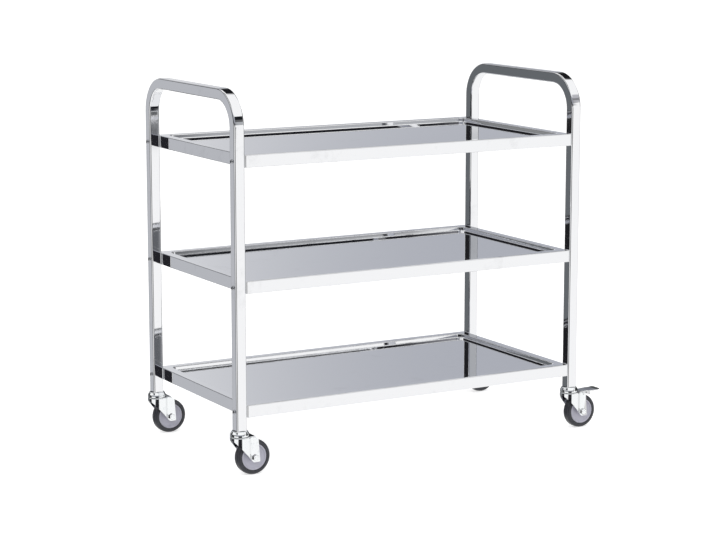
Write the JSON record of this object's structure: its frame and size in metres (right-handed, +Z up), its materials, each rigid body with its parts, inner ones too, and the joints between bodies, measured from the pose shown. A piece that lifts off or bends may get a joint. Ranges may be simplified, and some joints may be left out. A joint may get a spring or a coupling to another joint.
{
  "type": "serving trolley",
  "caption": "Stainless steel serving trolley with recessed trays between tubular end hoops, on swivel castors with foot brakes at one end.",
  "frame": {"origin": "middle of the bounding box, on the floor under the wheels", "axes": "X along the trays with the braked castors at +X, Y across them with the front at -Y, Z up"},
  "size_m": [0.9764, 0.48, 0.845],
  "materials": {
    "hoop": "polished stainless tube",
    "tray": "polished stainless sheet",
    "screw": "bright stainless",
    "weld_nut": "plain steel",
    "leg_socket": "plain steel",
    "stem": "zinc plated",
    "cup": "bright zinc",
    "balls": "bright steel",
    "fork": "bright zinc",
    "axle_bolt": "bright zinc",
    "axle_nut": "bright zinc",
    "axle_sleeve": "plain steel",
    "wheel_core": "moulded polypropylene",
    "tyre": "moulded grey rubber",
    "brake_pedal": "zinc plated",
    "brake_shoe": "plain steel",
    "pedal_pin": "zinc plated"
  },
  "bodies": {
    "frame": {"hoop_left": "hoop", "hoop_right": "hoop", "tray_bottom": "tray", "tray_middle": "tray", "tray_top": "tray", "screws_bottom": "screw", "weld_nuts_bottom": "weld_nut", "screws_middle": "screw", "weld_nuts_middle": "weld_nut", "screws_top": "screw", "weld_nuts_top": "weld_nut", "leg_socket_front_left": "leg_socket", "stem_front_left": "stem", "cup_front_left": "cup", "balls_front_left": "balls", "leg_socket_back_left": "leg_socket", "stem_back_left": "stem", "cup_back_left": "cup", "balls_back_left": "balls", "leg_socket_front_right": "leg_socket", "stem_front_right": "stem", "cup_front_right": "cup", "balls_front_right": "balls", "leg_socket_back_right": "leg_socket", "stem_back_right": "stem", "cup_back_right": "cup", "balls_back_right": "balls"},
    "swivel_front_left": {"fork_front_left": "fork", "axle_bolt_front_left": "axle_bolt", "axle_nut_front_left": "axle_nut", "axle_sleeve_front_left": "axle_sleeve"},
    "wheel_front_left": {"wheel_core_front_left": "wheel_core", "tyre_front_left": "tyre"},
    "swivel_back_left": {"fork_back_left": "fork", "axle_bolt_back_left": "axle_bolt", "axle_nut_back_left": "axle_nut", "axle_sleeve_back_left": "axle_sleeve"},
    "wheel_back_left": {"wheel_core_back_left": "wheel_core", "tyre_back_left": "tyre"},
    "swivel_front_right": {"fork_front_right": "fork", "axle_bolt_front_right": "axle_bolt", "axle_nut_front_right": "axle_nut", "axle_sleeve_front_right": "axle_sleeve", "pedal_pin_front_right": "pedal_pin"},
    "wheel_front_right": {"wheel_core_front_right": "wheel_core", "tyre_front_right": "tyre"},
    "pedal_front_right": {"brake_pedal_front_right": "brake_pedal", "brake_shoe_front_right": "brake_shoe"},
    "swivel_back_right": {"fork_back_right": "fork", "axle_bolt_back_right": "axle_bolt", "axle_nut_back_right": "axle_nut", "axle_sleeve_back_right": "axle_sleeve", "pedal_pin_back_right": "pedal_pin"},
    "wheel_back_right": {"wheel_core_back_right": "wheel_core", "tyre_back_right": "tyre"},
    "pedal_back_right": {"brake_pedal_back_right": "brake_pedal", "brake_shoe_back_right": "brake_shoe"}
  },
  "joints": [
    {"name": "swivel_front_left", "type": "hinge", "parent": "frame", "child": "swivel_front_left", "pos_m": [-0.46675, -0.2185, 0.0885], "axis": [0, 0, 1], "continuous": true},
    {"name": "wheel_front_left", "type": "hinge", "parent": "swivel_front_left", "child": "wheel_front_left", "pos_m": [-0.43675, -0.2185, 0.04], "axis": [0, 1, 0], "continuous": true},
    {"name": "swivel_back_left", "type": "hinge", "parent": "frame", "child": "swivel_back_left", "pos_m": [-0.46675, 0.2185, 0.0885], "axis": [0, 0, 1], "continuous": true},
    {"name": "wheel_back_left", "type": "hinge", "parent": "swivel_back_left", "child": "wheel_back_left", "pos_m": [-0.43675, 0.2185, 0.04], "axis": [0, 1, 0], "continuous": true},
    {"name": "swivel_front_right", "type": "hinge", "parent": "frame", "child": "swivel_front_right", "pos_m": [0.40825, -0.2185, 0.0885], "axis": [0, 0, 1], "continuous": true},
    {"name": "wheel_front_right", "type": "hinge", "parent": "swivel_front_right", "child": "wheel_front_right", "pos_m": [0.43825, -0.2185, 0.04], "axis": [0, 1, 0], "continuous": true},
    {"name": "pedal_front_right", "type": "hinge", "parent": "swivel_front_right", "child": "pedal_front_right", "pos_m": [0.43925, -0.2185, 0.08432], "axis": [0, 1, 0], "range_deg": [0, 9]},
    {"name": "swivel_back_right", "type": "hinge", "parent": "frame", "child": "swivel_back_right", "pos_m": [0.40825, 0.2185, 0.0885], "axis": [0, 0, 1], "continuous": true},
    {"name": "wheel_back_right", "type": "hinge", "parent": "swivel_back_right", "child": "wheel_back_right", "pos_m": [0.43825, 0.2185, 0.04], "axis": [0, 1, 0], "continuous": true},
    {"name": "pedal_back_right", "type": "hinge", "parent": "swivel_back_right", "child": "pedal_back_right", "pos_m": [0.43925, 0.2185, 0.08432], "axis": [0, 1, 0], "range_deg": [0, 9]}
  ]
}
